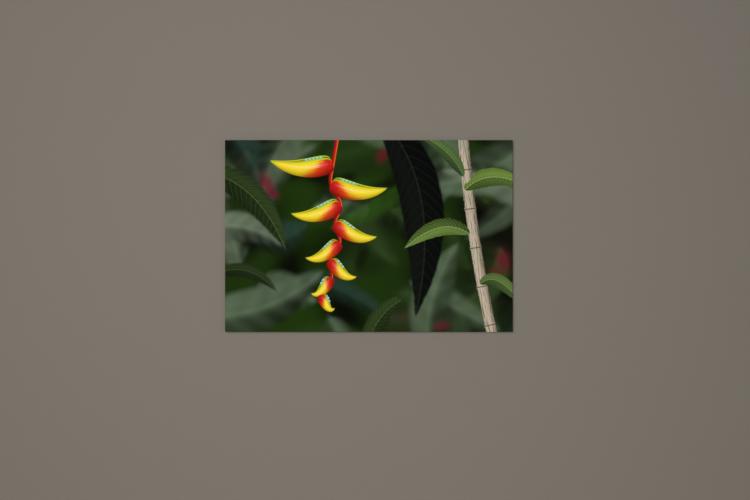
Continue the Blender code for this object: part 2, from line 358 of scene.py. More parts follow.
def turned(u, v, centre, turn):
    """Distances from a centre along a direction of turn degrees, and to its left."""
    angle = math.radians(turn)
    du, dv = u - centre[0], v - centre[1]
    along = du * math.cos(angle) + dv * math.sin(angle)
    return along, dv * math.cos(angle) - du * math.sin(angle)


def lay_on(paint, tint, cover):
    """The paint with a tint over it, by a cover of 0 to 1 at each point."""
    return paint + (np.array(tint) - paint) * cover[:, None]


def soft_leaf(paint, u, v, foot, turn, length, half, bend, blur, tint, opacity):
    """Lay on an out-of-focus leaf: a bent blade, its edges blurred, one half lit, quilted."""
    run, left = turned(u, v, foot, turn)
    s = run / length
    t = left - 4 * bend * length * s * (1 - s)
    width = half * 2.1 * np.clip(s, 0, 1) ** 0.5 * np.clip(1 - s, 0, 1) ** 0.8
    past = np.maximum(np.maximum(-s, s - 1), 0) * length
    cover = smooth_step(-blur, blur, width - np.abs(t) - past) * opacity
    out = t / half
    light = 0.25 + 0.55 * smooth_step(-0.3 - 6 * blur, 0.3 + 6 * blur, out) - 0.16 * np.abs(out)
    light += 0.05 * np.cos(34 * s - 5 * np.abs(out)) * 0.025 / blur
    light += 0.26 * np.exp(-((t / (0.05 * half + 0.45 * blur)) ** 2)) + 0.12 * np.sin(4 * s + turn)
    leaf = np.array(DEEP) + (np.array(tint) - np.array(DEEP)) * np.clip(light, 0, 1)[:, None]
    return lay_on(paint, leaf, cover)


def soft_spot(paint, u, v, centre, radii, turn, tint, opacity):
    """Lay on a blurred blot with its radii along and across its turn."""
    run, left = turned(u, v, centre, turn)
    a, b = run / radii[0], left / radii[1]
    return lay_on(paint, tint, opacity * np.exp(-((a * a + b * b) ** 1.3)))


NEAR_LEAVES = (  # foot, turn, length, half width, bend, blur, tint, opacity
    ((0.84, 0.49), 201, 0.62, 0.120, 0.10, 0.022, SAGE, 0.85),
    ((0.86, 0.17), 160, 0.50, 0.095, -0.08, 0.022, PALE, 0.70),
    ((0.30, -0.60), 74, 0.58, 0.115, 0.08, 0.022, SAGE, 0.75),
    ((-0.88, -0.42), 20, 0.68, 0.130, -0.10, 0.022, SAGE, 0.85),
    ((-0.74, 0.56), -66, 0.52, 0.115, 0.10, 0.022, TEAL, 0.85),
    ((-0.34, 0.60), -118, 0.44, 0.100, -0.10, 0.022, SAGE, 0.65),
    ((-0.86, 0.04), -12, 0.42, 0.085, 0.12, 0.018, PALE, 0.65),
    ((0.12, 0.14), -60, 0.40, 0.085, 0.10, 0.022, MOSS, 0.75),
)
RED_SPOTS = (  # centre, radii, turn, opacity
    ((-0.53, 0.27), (0.034, 0.060), 20, 0.75),
    ((-0.50, 0.22), (0.022, 0.034), 60, 0.60),
    ((0.07, 0.42), (0.028, 0.040), -30, 0.60),
    ((0.70, -0.13), (0.036, 0.054), 10, 0.70),
    ((0.66, -0.19), (0.022, 0.034), 70, 0.55),
    ((0.38, -0.47), (0.046, 0.024), 10, 0.50),
)


def strewn_leaves(paint, u, v, rng, count, low, high, cool, green):
    """Lay on leaves at random; low and high bound turn, length, half width, bend, blur, opacity."""
    for _ in range(count):
        foot = rng.uniform((-0.95, -0.7), (0.95, 0.7))
        turn, length, half, bend, blur, opacity = rng.uniform(low, high)
        tints = cool if foot[0] < 0.05 else green
        tint = tints[rng.integers(len(tints))]
        paint = soft_leaf(paint, u, v, foot, turn, length, half, bend, blur, tint, opacity)
    return paint


def strewn_gaps(paint, u, v, rng, count, low, high):
    """Lay on dark gaps at random; low and high bound their radii and opacity."""
    for _ in range(count):
        centre = rng.uniform((-0.8, -0.55), (0.8, 0.55))
        *radii, opacity = rng.uniform(low, high)
        paint = soft_spot(paint, u, v, centre, radii, rng.uniform(0, 180), NIGHT, opacity)
    return paint


def backdrop(u, v):
    """The forest behind the spray: a wash, far leaves, dark gaps, nearer leaves, red blooms."""
    rng = np.random.default_rng(BACKDROP_SEED)
    paint = lay_on(np.array(SHADE), FOREST, 0.5 + 0.5 * np.sin(2.4 * u - 1.1 * v + 2.0))
    far = (0, 0.40, 0.08, -0.15, 0.045, 0.5), (360, 0.85, 0.17, 0.15, 0.075, 0.9)
    paint = strewn_leaves(paint, u, v, rng, 30, *far, FAR_TINTS, FAR_TINTS)
    paint = strewn_gaps(paint, u, v, rng, 14, (0.06, 0.04, 0.7), (0.20, 0.11, 1.0))
    middle = (0, 0.28, 0.06, -0.15, 0.020, 0.35), (360, 0.54, 0.115, 0.15, 0.036, 0.75)
    paint = strewn_leaves(paint, u, v, rng, 22, *middle, COOL_TINTS, GREEN_TINTS)
    paint = strewn_gaps(paint, u, v, rng, 12, (0.03, 0.02, 0.6), (0.10, 0.06, 0.95))
    for leaf in NEAR_LEAVES:
        paint = soft_leaf(paint, u, v, *leaf)
    for centre, radii, turn, opacity in RED_SPOTS:
        paint = soft_spot(paint, u, v, centre, radii, turn, CRIMSON, opacity)
    return np.append(paint, np.ones((len(u), 1)), 1)


# ---- The design: ink on the cloth ------------------------------------------------------
BLACK, WHITE = (0.0, 0.0, 0.0), (1.0, 1.0, 1.0)
YELLOW, LIME, ORANGE = colour(246, 218, 42), colour(160, 198, 40), colour(240, 124, 28)
SCARLET, MAROON, EMBER = colour(192, 28, 28), colour(92, 10, 24), colour(226, 66, 26)
BERRY, BERRY_SHADE = colour(168, 214, 230), colour(40, 80, 116)
FAR_DARK = colour(4, 5, 5), colour(12, 19, 8)  # leaf tints for tones 0 and 1
FAR_LIGHT = colour(16, 19, 16), colour(48, 66, 32)
FAR_VEIN = colour(31, 37, 29), colour(74, 94, 56)
NEAR_DARK = colour(20, 34, 16), colour(24, 42, 12)
NEAR_LIGHT = colour(78, 106, 62), colour(112, 140, 62)
NEAR_VEIN = colour(124, 146, 98), colour(158, 178, 108)
LEAF_INKS = {  # group: softness of its edges, ribs from foot to tip, dark, light and vein tints
    "far_leaf": (0.008, 18, FAR_DARK, FAR_LIGHT, FAR_VEIN),
    "near_leaf": (0.0014, 20, NEAR_DARK, NEAR_LIGHT, NEAR_VEIN),
}
CANE_TAN, CANE_DARK, CANE_LICHEN = colour(216, 201, 177), colour(52, 42, 34), colour(150, 156, 138)
PRIMER = colour(214, 211, 203)
COTTON_DARK, COTTON = colour(168, 158, 135), colour(222, 215, 198)
GUARDED = 0.026  # closer than this to the line between two blades, neither is drawn
JOINT_SPACING = 0.205  # of the cane
CANE_HALF, JOINT_SWELL = 0.030, 0.0035
STEM_HALF, STEM_TAPER = 0.0115, 0.0048
STEM_END = 0.96
BERRY_SPACING, BERRY_RADIUS = 0.0215, 0.0102


def blade_width(ink, along, half, foot, tip):
    """Half width of a blade: along to the power foot, times what is left to the power tip."""
    peak = foot / (foot + tip)
    inside = ink.clamp(along)
    return inside**foot * (1 - inside) ** tip * half / (peak**foot * (1 - peak) ** tip)


def blade(ink, group, parts):
    """The stored numbers of a group, and 1 where its nearest blade may be drawn."""
    guard = ink.step(ink.stored(f"{group}_guard"), GUARDED, GUARDED + 0.006)
    return [ink.stored(f"{group}_{part}") for part in parts] + [guard]


def print_leaves(ink, under, group):
    """Leaves on their spines: halves lit apart, quilted between slanting ribs, a pale midrib."""
    soft, ribs, darks, lights, veins = LEAF_INKS[group]
    along, side, half, tone, guard = blade(ink, group, ("along", "side", "half", "tone"))
    width = blade_width(ink, along, half, 0.6, 0.9)
    wave = (ink.noise(along * 14 + tone * 9) - 0.5) * half * 0.10
    cover = ink.step(width + wave - abs(side), 0.0, 2 * soft) * guard
    across = side / half
    out = abs(across)
    slant = along * ribs - out**1.3 * 2.4 + tone * 5
    rib = ink.ridge(slant)
    streak = ink.noise(slant * 3, detail=3) - 0.5
    sunny = ink.step(across, -0.07, 0.07)
    gloss = ink.step(abs(out - 0.42), 0.34, 0.0) * (1 - rib) * (0.25 + 0.75 * sunny)
    level = 0.20 + 0.40 * sunny - 0.24 * out + 0.10 * rib + 0.42 * streak + 0.30 * gloss
    level = ink.clamp(level + 0.20 * ink.step(along, 0.0, 0.5))
    shown = ink.mix(ink.mix(*darks, tone), ink.mix(*lights, tone), level)
    fold = ink.step(across, -0.12, -0.03) * ink.step(across, 0.02, -0.02)
    shown = ink.mix(shown, BLACK, fold * 0.35)
    lines = ink.clamp(ink.step(rib, 0.80, 1.0) * 0.30 + ink.step(out, 0.055, 0.02) * 0.65)
    shown = ink.mix(shown, ink.mix(*veins, tone), lines)
    return ink.mix(under, shown, cover)


def print_cane(ink, under, cloud):
    """A round bark cane: swollen dark joints, fibres and cracks along it, patches of lichen."""
    run, side = ink.stored("cane_run"), ink.stored("cane_side")
    joint = ink.ridge(run / JOINT_SPACING + 0.32)
    rough = (ink.noise(run * 90, detail=3) - 0.5) * 0.005
    half = CANE_HALF + JOINT_SWELL * ink.step(joint, 0.84, 0.98) + rough
    cover = ink.step(half - abs(side), 0.0, 0.003)
    across = ink.clamp(side / half, -1.0, 1.0)
    fibre = ink.noise(side * 560 + run * 3, detail=4, roughness=0.65)
    cross = ink.noise(side * 420 - run * 26, detail=3, roughness=0.6)
    level = (1 - across * across) ** 0.5 * 0.74 + across * 0.24 + (fibre - 0.5) * 1.5
    level = level + (cross - 0.5) * 1.1 - 0.02
    shown = ink.mix(CANE_DARK, CANE_TAN, ink.clamp(level))
    bark = ink.noise(side * 150 + run * 11, detail=2) + ink.noise(side * 120 - run * 14, detail=2)
    shown = ink.mix(shown, CANE_DARK, ink.step(bark, 0.98, 0.78) * 0.75)
    lichen = ink.step(cloud + (cross - 0.5) * 0.2, 0.55, 0.66) * 0.55
    shown = ink.mix(shown, CANE_LICHEN, lichen * ink.step(across, -0.9, 0.3))
    shown = ink.mix(shown, CANE_DARK, ink.step(joint, 0.955, 0.99) * 0.8)
    return ink.mix(under, shown, cover)


def print_stem(ink, under):
    """The spray's stem: thick and scarlet, thinner lower down, with a yellow side."""
    run, side = ink.stored("stem_run"), ink.stored("stem_side")
    half = STEM_HALF - run * STEM_TAPER
    inside = ink.step(half - abs(side), 0.0, 0.002)
    cover = inside * ink.step(run, STEM_END + 0.005, STEM_END - 0.005)
    across = ink.clamp(side / half, -1.0, 1.0)
    streak = ink.noise(side * 900 + run * 20, detail=3) - 0.5
    shown = ink.mix(SCARLET, ORANGE, ink.step(across + streak, 0.1, 1.0) * 0.8)
    shade = ink.step(across + streak * 0.4, 0.5, -1.15)
    shown = ink.mix(shown, MAROON, shade * 0.9)
    return ink.mix(under, shown, cover)


def print_bracts(ink, under, group, cloud):
    """Boat-shaped bracts: the far lip, a row of berries in the boat, and the near side.

    In each boat v runs from -1 on the keel to 1 on the near rim.
    """
    parts = ("along", "side", "half", "length", "tone")
    along, side, half, length, tone, guard = blade(ink, group, parts)
    width = blade_width(ink, along, half, 0.24, 0.85)
    far = side / ink.math("MAXIMUM", width, 0.0004)
    lip = ink.step(width * 0.98 - abs(side - width * 0.28), 0.0, 0.003) * guard
    inside = ink.mix(MAROON, LIME, ink.step(far, 1.02, 1.14))
    inside = ink.mix(inside, YELLOW, ink.step(along, 0.35, 0.8) * 0.6)
    under = ink.mix(under, inside, lip * ink.step(along, 0.0, 0.02))

    row = along * length / BERRY_SPACING
    du = (ink.math("FRACT", row) - 0.5) * BERRY_SPACING
    dv = side - width * 0.96
    radius = (du * du + dv * dv) ** 0.5 / BERRY_RADIUS
    light = ink.step(dv - du * 0.5, -0.009, 0.008)
    berry = ink.mix(BERRY_SHADE, BERRY, light)
    fruit = ink.step(radius, 1.0, 0.82) * ink.step(along, 0.10, 0.13) * ink.step(along, 0.46, 0.42)
    under = ink.mix(under, berry, fruit * guard)

    edge = width - abs(side)
    v = ink.clamp(side / ink.math("MAXIMUM", width, 0.0004), -1.0, 1.0)
    fibre = ink.noise(v * 8 + along * 1.5 + tone * 40, detail=3) - 0.5
    fine = ink.noise(v * 34 + along * 4, detail=2) - 0.5
    drift = along + fibre * 0.22 + (cloud - 0.5) * 0.25 - tone * 0.10
    shown = ink.mix(SCARLET, EMBER, ink.step(drift + 0.10 * v, 0.02, 0.24))
    shown = ink.mix(shown, ORANGE, ink.step(drift + 0.16 * v, 0.16, 0.32))
    shown = ink.mix(shown, YELLOW, ink.step(drift + 0.22 * v, 0.20, 0.42))
    shown = ink.mix(shown, LIME, ink.step(drift, 0.78, 0.98) * 0.9)
    shown = ink.mix(shown, LIME, ink.step(v, 0.70, 0.84) * 0.85)
    shown = ink.mix(shown, MAROON, ink.step(along, 0.94, 0.99))
    shade = 0.62 * ink.step(v, 0.15, -1.2) + 0.30 * ink.step(edge, 0.006, 0.0) - fine * 0.34
    crease = ink.step(abs(v - 0.66), 0.07, 0.0) * 0.25
    shown = ink.mix(shown, BLACK, ink.clamp(shade + crease))
    shine = ink.step(abs(v - 0.22 + fibre * 0.3), 0.26, 0.0) * ink.step(along, 0.02, 0.3)
    shown = ink.mix(shown, WHITE, shine * ink.step(along, 0.92, 0.5) * (0.17 + fine * 0.4))
    return ink.mix(under, shown, ink.step(edge, 0.0, 0.0026) * guard)


def weave(finish, u, v):
    """Height of a plain weave, 0 to 1: each thread is round across and long, over one, under one.

    Between neighbouring threads' edges the sines of u and v are 0. Where both have one sign the
    upright thread is on top, and elsewhere the level one.
    """
    warp = finish.math("SINE", u * (math.pi / THREAD))
    weft = finish.math("SINE", v * (math.pi / THREAD))
    over = finish.step(warp * weft, -0.08, 0.08)
    warp, weft = abs(warp), abs(weft)
    upright, level = warp * weft**0.35, weft * warp**0.35
    return upright * over + level * (1 - over)


def slubs(finish, u, v):
    """Threads that are thicker for a short way, both ways, about 0.

    The noise is long along the threads, and shears from each thread to the next, so that no two
    neighbours are thick at the same place.
    """
    upright = finish.noise(finish.vector(u * 700, v * 13 + u * 430), detail=2)
    level = finish.noise(finish.vector(u * 13 + v * 430, v * 700), detail=2)
    return upright + level - 1


def printed_canvas():
    """The design in ink on primed canvas, rubbed pale on the outer edges, bare past the bleed, with
    painted shade between the threads.
    """
    ink = Finish("printed_canvas", Specular_IOR_Level=0.01)
    map_place = ink.node("UVMap", {"uv_map": "cloth"})
    cloud = ink.noise(map_place, 11.0, 4)
    shown = ink.node("Attribute", {"attribute_name": "backdrop"})
    shown = print_leaves(ink, shown, "far_leaf")
    shown = print_cane(ink, shown, cloud)
    shown = print_leaves(ink, shown, "near_leaf")
    shown = print_stem(ink, shown)
    shown = print_bracts(ink, shown, "left_bract", cloud)
    shown = print_bracts(ink, shown, "right_bract", cloud)

    reach = ink.stored("reach")
    end_of_ink = MARGIN_Y - FACE_Y + INK_BLEED
    rub = ink.noise(map_place, 260.0, 4, 0.7)
    on_edge = ink.step(abs(reach - FRONT_BEND * 0.75), FRONT_BEND * 0.6, 0.0)
    shown = ink.mix(shown, PRIMER, on_edge * ink.step(rub, 0.60, 0.76) * 0.35)
    ragged = ink.noise(map_place, 90.0, 3) * 0.0012
    shown = ink.mix(shown, PRIMER, ink.step(reach + ragged, end_of_ink, end_of_ink + 0.0006))
    u, v, _ = ink.split(map_place)
    height = weave(ink, u, v) + slubs(ink, u, v) * 0.8
    # painted shade: the print is darkened toward black between the threads, where the weave lies
    # low
    shown = ink.mix(shown, BLACK, ink.clamp(0.16 - height * 0.16))
    normal = ink.bump(height, 0.00014, 0.9)
    return ink.wear(Base_Color=shown, Roughness=0.60 + height * 0.06, Normal=normal)


def raw_canvas():
    """Unprimed cotton: warm off-white, with painted shade darkening it between the threads, cloudy
    and a little streaked.
    """
    cotton = Finish("raw_canvas", Specular_IOR_Level=0.2)
    map_place = cotton.node("UVMap", {"uv_map": "cloth"})
    u, v, _ = cotton.split(map_place)
    slub = slubs(cotton, u, v)
    height = weave(cotton, u, v) + slub * 0.9
    cloud = cotton.noise(map_place, 5.0, 3)
    # painted shade: the colour follows the weave's height, darker where the threads lie low
    level = 0.22 + height * 0.62 + (cloud - 0.5) * 0.35 + slub * 0.35
    shown = cotton.mix(COTTON_DARK, COTTON, cotton.clamp(level))
    return cotton.wear(Base_Color=shown, Roughness=0.92, Normal=cotton.bump(height, 0.0002, 1.0))


# ---- The cloth -------------------------------------------------------------------------
FACE_WIDTH, FACE_HEIGHT = HALF_WIDTH - FRONT_BEND, HALF_HEIGHT - FRONT_BEND
OUTWARD = ((0, -1), (1, 0), (0, 1), (-1, 0))  # of the four sides, round from the bottom
SAG = 0.0006  # how far the middle of the face lies behind its edges
WAVER = 0.0005  # of the cloth's cut edge
ISLAND_GAP = 0.006  # between the flat patches of the cloth's map
MAP_GAP = 0.005  # round each side of the cloth in the unit square


def wrap_path(depth):
    """Reach, inset and y of the cloth past its flat face, at a depth into its thickness.

    A quarter circle over the front edge, the straight side, a quarter circle over the back edge
    and the flat margin. Reach is the distance run along the outside from the end of the face.
    """
    front = np.radians(np.linspace(-90, -180, 6))
    back = np.radians(np.linspace(180, 90, 4))
    side = np.linspace(FACE_Y + FRONT_BEND, MARGIN_Y - BACK_BEND, 5)[1:-1]
    margin = np.append(np.linspace(BACK_BEND, MARGIN - 0.0004, 7)[1:], MARGIN)

    def line(cut):
        over, under = FRONT_BEND - cut, BACK_BEND - cut
        inset = [FRONT_BEND + over * np.cos(front), np.full(3, cut)]
        inset += [BACK_BEND + under * np.cos(back), margin]
        y = [FACE_Y + FRONT_BEND + over * np.sin(front), side]
        y += [MARGIN_Y - BACK_BEND + under * np.sin(back), np.full(len(margin), MARGIN_Y - cut)]
        return np.concatenate(inset), np.concatenate(y)

    reach = np.append(0, np.cumsum(np.hypot(*np.diff(line(0.0), axis=1))))
    return reach, *line(depth)


def mesh_lines(half):
    """Mesh lines along a side, as fractions of its half length, closer together at its ends."""
    even = np.linspace(-1, 1, round(2 * half / GRID))[2:-2]
    close = 1 - np.array((0.0, 0.004, 0.010)) / half
    return np.unique(np.concatenate([even, close, -close]))


ACROSS, UP = mesh_lines(HALF_WIDTH), mesh_lines(HALF_HEIGHT)
COLUMNS, ROWS = len(ACROSS) + 2, len(UP) + 2
LOOP_CORNERS = np.cumsum([0, COLUMNS - 1, ROWS - 1, COLUMNS - 1, ROWS - 1])


def loop(half_a, half_b, round_off):
    """One turn round the picture from the lower left, x and z, its corners cut by a round-off."""
    a, b = (half_a - round_off) * ACROSS, (half_b - round_off) * UP
    corner_a, corner_b = half_a - 0.29 * round_off, half_b - 0.29 * round_off
    level, upright = np.full(len(a), half_b), np.full(len(b), half_a)
    x = [[-corner_a], a, [corner_a], upright, [corner_a], a[::-1], [-corner_a], -upright]
    z = [[-corner_b], -level, [-corner_b], b, [corner_b], level, [corner_b], b[::-1]]
    return np.concatenate(x), np.concatenate(z)


def cloth_layer(depth):
    """Points of the face's grid and of the loops beyond it, at one depth into the cloth."""
    reach, inset, y = wrap_path(depth)
    tiny = CORNER_BEND / 6
    across = np.concatenate([[-FACE_WIDTH], ACROSS * (FACE_WIDTH - tiny), [FACE_WIDTH]])
    up = np.concatenate([[-FACE_HEIGHT], UP * (FACE_HEIGHT - tiny), [FACE_HEIGHT]])
    x, z = np.meshgrid(across, up)
    sag = SAG * (1 - (x / FACE_WIDTH) ** 2) * (1 - (z / FACE_HEIGHT) ** 2)
    points = [np.stack([x, y[0] + sag, z], -1).reshape(-1, 3)]
    for inward, back in zip(inset[1:], y[1:]):
        cut = inward > MARGIN - 0.001
        x, z = loop(HALF_WIDTH - inward, HALF_HEIGHT - inward, max(CORNER_BEND - inward, tiny))
        waver = cut * WAVER * (np.sin(61 * x + 47 * z) + 0.6 * np.sin(173 * x - 139 * z))
        x, z = x * (1 + waver / HALF_WIDTH), z * (1 + waver / HALF_HEIGHT)
        points.append(np.stack([x, np.full(len(x), back), z], -1))
    return reach, points


def cloth_patches(reach, starts):
    """Each patch of the cloth's skin: its point numbers, its way out, its reach, if it is inside.

    A grid covers the face. From its border, loops run out along the wrap path, cross the cut
    edge and come back along the inside to the inner grid. Starts are the first point numbers of
    the grid and loops, outside and then inside.
    """
    grid = np.arange(ROWS * COLUMNS).reshape(ROWS, COLUMNS)
    border = np.concatenate([grid[0], grid[1:-1, -1], grid[-1, ::-1], grid[-2:0:-1, 0]])
    steps, around = len(reach), len(border)
    plain = [border] + [np.arange(around)] * (steps - 1)
    outer_loops = [numbers + start for numbers, start in zip(plain, starts[:steps])]
    inner_loops = [numbers + start for numbers, start in zip(plain, starts[steps:])][::-1]
    patches = [(grid, None, None, False), (grid.T + starts[steps], None, None, True)]
    for side, outward in enumerate(OUTWARD):
        stretch = np.arange(LOOP_CORNERS[side], LOOP_CORNERS[side + 1] + 1) % around
        strips = (
            (outer_loops, reach, False),
            ([outer_loops[-1], inner_loops[0]], reach[-1] + np.array((CLOTH, 0)), True),
            (inner_loops, reach[::-1], True),
        )
        for loops, reaches, inside in strips:
            numbers = np.array([numbers_round[stretch] for numbers_round in loops]).T
            patches.append((numbers, outward, np.broadcast_to(reaches, numbers.shape), inside))
    return patches


def make_canvas(printed, raw):
    """The whole cloth as one closed sheet: face, sides and margins, outside and inside.

    Each patch is laid out flat, where its points lay on the cloth before it was stretched. The
    table has a row for each point of each patch: its number, its flat place, that place moved
    out by the gap, its reach and whether it is inside.
    """
    reach, outer = cloth_layer(0.0)
    _, inner = cloth_layer(CLOTH)
    points = np.concatenate(outer + inner)
    starts = np.cumsum([0] + [len(part) for part in outer + inner])
    end = np.array((FACE_WIDTH, FACE_HEIGHT))
    faces, table, count = [], [], 0
    for numbers, outward, reaches, inside in cloth_patches(reach, starts):
        spots = points[numbers.ravel()][:, [0, 2]]
        gap, far = np.zeros(2), np.zeros(len(spots))
        if outward:
            way, far = np.array(outward), reaches.ravel()
            spots = np.where(way == 0, spots, way * (end + far[:, None]))
            gap = way * ISLAND_GAP
        inner_side = np.full(len(spots), inside)
        table.append(np.column_stack([numbers.ravel(), spots, spots + gap, far, inner_side]))
        faces.append(grid_faces(np.arange(count, count + numbers.size).reshape(numbers.shape)))
        count += numbers.size
    faces, table = np.concatenate(faces), np.concatenate(table)
    owners, inside = table[:, 0].astype(int), table[:, 6] > 0

    name, slot = "canvas_cloth", "printed_canvas"
    piece = make_piece(name, points, owners[faces].tolist(), (printed, raw))
    mesh, corners = piece.data, faces.ravel()
    mesh.polygons.foreach_set("material_index", inside[faces[:, 0]].astype(int))
    fit_in_square(mesh, table[:, 3:5], inside, corners)
    print_on(mesh, table[:, 1:3], table[:, 5], ~inside, corners)
    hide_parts("canvas")
    return piece


def fit_in_square(mesh, spread, inside, corners):
    """A map of both faces of the cloth in a unit square: the outside large, the inside small."""
    low, high = spread.min(0), spread.max(0)
    width, height = high - low
    large = (1 - 2 * MAP_GAP) / width
    small = (1 - 4 * MAP_GAP - height * large) / height
    outer = (spread - low) * large + MAP_GAP
    inner = (spread - low) * small + (MAP_GAP, 1 - MAP_GAP - height * small)
    fitted = np.where(inside[:, None], inner, outer)[corners]
    mesh.uv_layers.new(name="OFBake").data.foreach_set("uv", fitted.astype(np.float32).ravel())


def print_on(mesh, flat, reach, inked, corners):
    """Store the cloth's own place and, where it is inked, the design, at every face corner."""
    spots = flat[corners].astype(np.float32)
    mesh.uv_layers.new(name="cloth").data.foreach_set("uv", spots.ravel())
    u, v = flat[inked].T
    for name, values in design_fields(u, v).items():
        everywhere = np.zeros(len(flat))
        everywhere[inked] = values
        store(mesh, name, everywhere[corners])
    store(mesh, "reach", reach[corners])
    paint = np.ones((len(flat), 4))
    paint[inked] = backdrop(u, v)
    store(mesh, "backdrop", paint[corners], colours=True)


FOLD_WIDTH = 0.020  # at the back edge
FOLD_RISE = 0.0007


def make_corner_fold(name, across, up, printed):
    """The cloth tucked in at a corner: a thin triangular flap on the top or bottom side.

    Its section runs from the corner's edge, t = 0, to the fold line, t = 1, and stands out by
    the rise times (1 - |2t - 1| ^ 8) ^ 0.5. It is carried from the front edge, where it is next
    to nothing, to the back edge.
    """
    t = np.linspace(0, 1, 15)
    height = FOLD_RISE * (1 - np.abs(2 * t - 1) ** 8) ** 0.5 + 0.00004
    section_t = np.append(t, t[-2:0:-1])
    section_h = np.append(height, np.full(len(t) - 2, 0.00002))
    if across * up > 0:
        section_t, section_h = section_t[::-1], section_h[::-1]
    s = np.linspace(0.04, 1, 16)[:, None]
    y = FACE_Y + FRONT_BEND + s * (MARGIN_Y - BACK_BEND - FACE_Y - FRONT_BEND)
    x = HALF_WIDTH - CORNER_BEND - s * FOLD_WIDTH * section_t
    z = HALF_HEIGHT + section_h * (0.35 + 0.65 * s)
    points = np.stack([across * x, y + 0 * x, up * z], -1).reshape(-1, 3)
    faces = tube_faces(len(s), len(section_t))
    piece = make_piece(name, points, faces, (printed,))
    reach = math.pi / 2 * FRONT_BEND + points[:, 1] - FACE_Y - FRONT_BEND
    flat = np.stack([points[:, 0], up * (FACE_HEIGHT + reach)], -1)
    corners = np.concatenate([list(face) for face in faces])
    print_on(piece.data, flat, reach, np.full(len(points), True), corners)
    return piece


# ---- Staples ---------------------------------------------------------------------------
STAPLE_INSET = 0.013  # from the picture's outer edge
STAPLE_SPACING = 0.055
STAPLE_SEED = 41
STAPLE_CORNER = 0.034  # the last staples' distance from the corners, where they slant


def make_staples(steel):
    """Wire staples along the margins: a flat wire carried up, across and down again.

    The wire's outer and inner outlines are in tenths of a millimetre, along and out.
    """
    outer = np.array([(-53, -25), (-53, 1), (-49, 6), (49, 6), (53, 1), (53, -25)]) * 1e-4
    inner = np.array([(-47, -25), (-47, -2), (-45, 0), (45, 0), (47, -2), (47, -25)]) * 1e-4
    rings = np.stack([outer, outer, inner, inner], 1)
    wide = np.broadcast_to(np.array((-0.0006, 0.0006, 0.0006, -0.0006)), rings.shape[:2])
    shape = np.stack([rings[..., 0], rings[..., 1], wide], -1).reshape(-1, 3)
    faces = tube_faces(*rings.shape[:2])
    rng = np.random.default_rng(STAPLE_SEED)
    places = []
    for half_a, half_b, turn in ((HALF_WIDTH, HALF_HEIGHT, 0), (HALF_HEIGHT, HALF_WIDTH, 90)):
        count = round(2 * (half_a - 0.045) / STAPLE_SPACING)
        last = half_a - STAPLE_CORNER
        for a in np.linspace(-1, 1, count + 1) * last:
            slant = 45 if abs(a) > last - 0.006 else 0
            for b in (STAPLE_INSET - half_b, half_b - STAPLE_INSET):
                lean = math.copysign(slant, -a * b)
                at = a + rng.normal(0, 0.0015), b + rng.normal(0, 0.0007)
                heading = math.radians(turn + lean + rng.normal(0, 4))
                places.append((*(at if turn == 0 else at[::-1]), heading))
    x, z, turns = np.array(places).T[..., None]
    along, rise, beside_it = shape.T
    points = np.stack(
        [
            x + along * np.cos(turns) - beside_it * np.sin(turns),
            MARGIN_Y - 0.00005 + rise + 0 * x,
            z + along * np.sin(turns) + beside_it * np.cos(turns),
        ],
        -1,
    ).reshape(-1, 3)
    many = [[corner + k * len(shape) for corner in face] for k in range(len(x)) for face in faces]
    return make_piece("staples", points, many, (steel,), smooth=False)


# ---- Wood, steel and rubber ------------------------------------------------------------
PINE_EARLY, PINE_LATE, PINE_KNOT = colour(218, 194, 156), colour(178, 140, 98), colour(98, 62, 38)
BEECH, BEECH_DARK = colour(222, 194, 156), colour(176, 134, 94)
YEAR = 0.0030  # width of one of the pine's rings
PINE_BARS = {  # the grain's axis, the tree's heart, the knots, as in pine
    "bar_top": ("x", (0.560, 0.030), ((-0.31, 0.478, 0.006), (0.52, 0.470, 0.004))),
    "bar_bottom": ("x", (-0.40, 0.045), ((0.12, -0.476, 0.005),)),
    "bar_left": ("z", (-0.66, 0.035), ((0.18, -0.727, 0.006),)),
    "bar_right": ("z", (0.82, 0.050), ((-0.22, 0.724, 0.005), (0.30, 0.731, 0.003))),
    "brace": ("z", (0.05, 0.020), ((0.09, 0.004, 0.006),)),
}


def pine(name, lengthwise, heart, knots):
    """Planed pine: rings round the tree's heart with darker late wood, pushed aside by knots.

    lengthwise is the axis of the grain, heart the tree's centre across the bar and in y, and
    each knot a place along and across the bar, and a size.
    """
    wood = Finish(name, Specular_IOR_Level=0.3)
    x, y, z = wood.place()
    run, across = (x, z) if lengthwise == "x" else (z, x)
    wander = wood.noise(wood.vector(run * 1.4, across * 5, y * 5), detail=3) - 0.5
    off, deep = across - heart[0], y - heart[1]
    radius = (off * off + deep * deep) ** 0.5 + wander * 0.022
    core = 0
    for knot_run, knot_across, size in knots:
        a, b = (run - knot_run) * 0.7, across - knot_across
        near = (a * a + b * b) ** 0.5 + wander * size
        radius = radius + wood.step(near, size * 3.5, 0.0) * size * 1.1
        core = core + wood.step(near, size, size * 0.72)
    years = radius / YEAR + wood.noise(radius * 70) * 3
    ring = wood.math("FRACT", years)
    late = wood.step(ring, 0.30, 0.96) * wood.step(ring, 1.0, 0.95)
    late = late * (0.45 + 0.9 * wood.noise(radius * 190 + 5))
    fibre = wood.noise(wood.vector(run * 14, across * 1300, y * 1300), detail=3) - 0.5
    patch = wood.noise(wood.vector(run * 3, across * 14, y * 14), detail=2) - 0.5
    level = wood.clamp(late * 0.72 + fibre * 0.5 + patch * 0.5)
    shown = wood.mix(PINE_EARLY, PINE_LATE, level)
    shown = wood.mix(shown, PINE_KNOT, wood.clamp(core) * (0.7 + fibre))
    height = fibre + late * 0.5
    rough = 0.62 - late * 0.10 + fibre * 0.1
    return wood.wear(Base_Color=shown, Roughness=rough, Normal=wood.bump(height, 0.00015, 0.5))


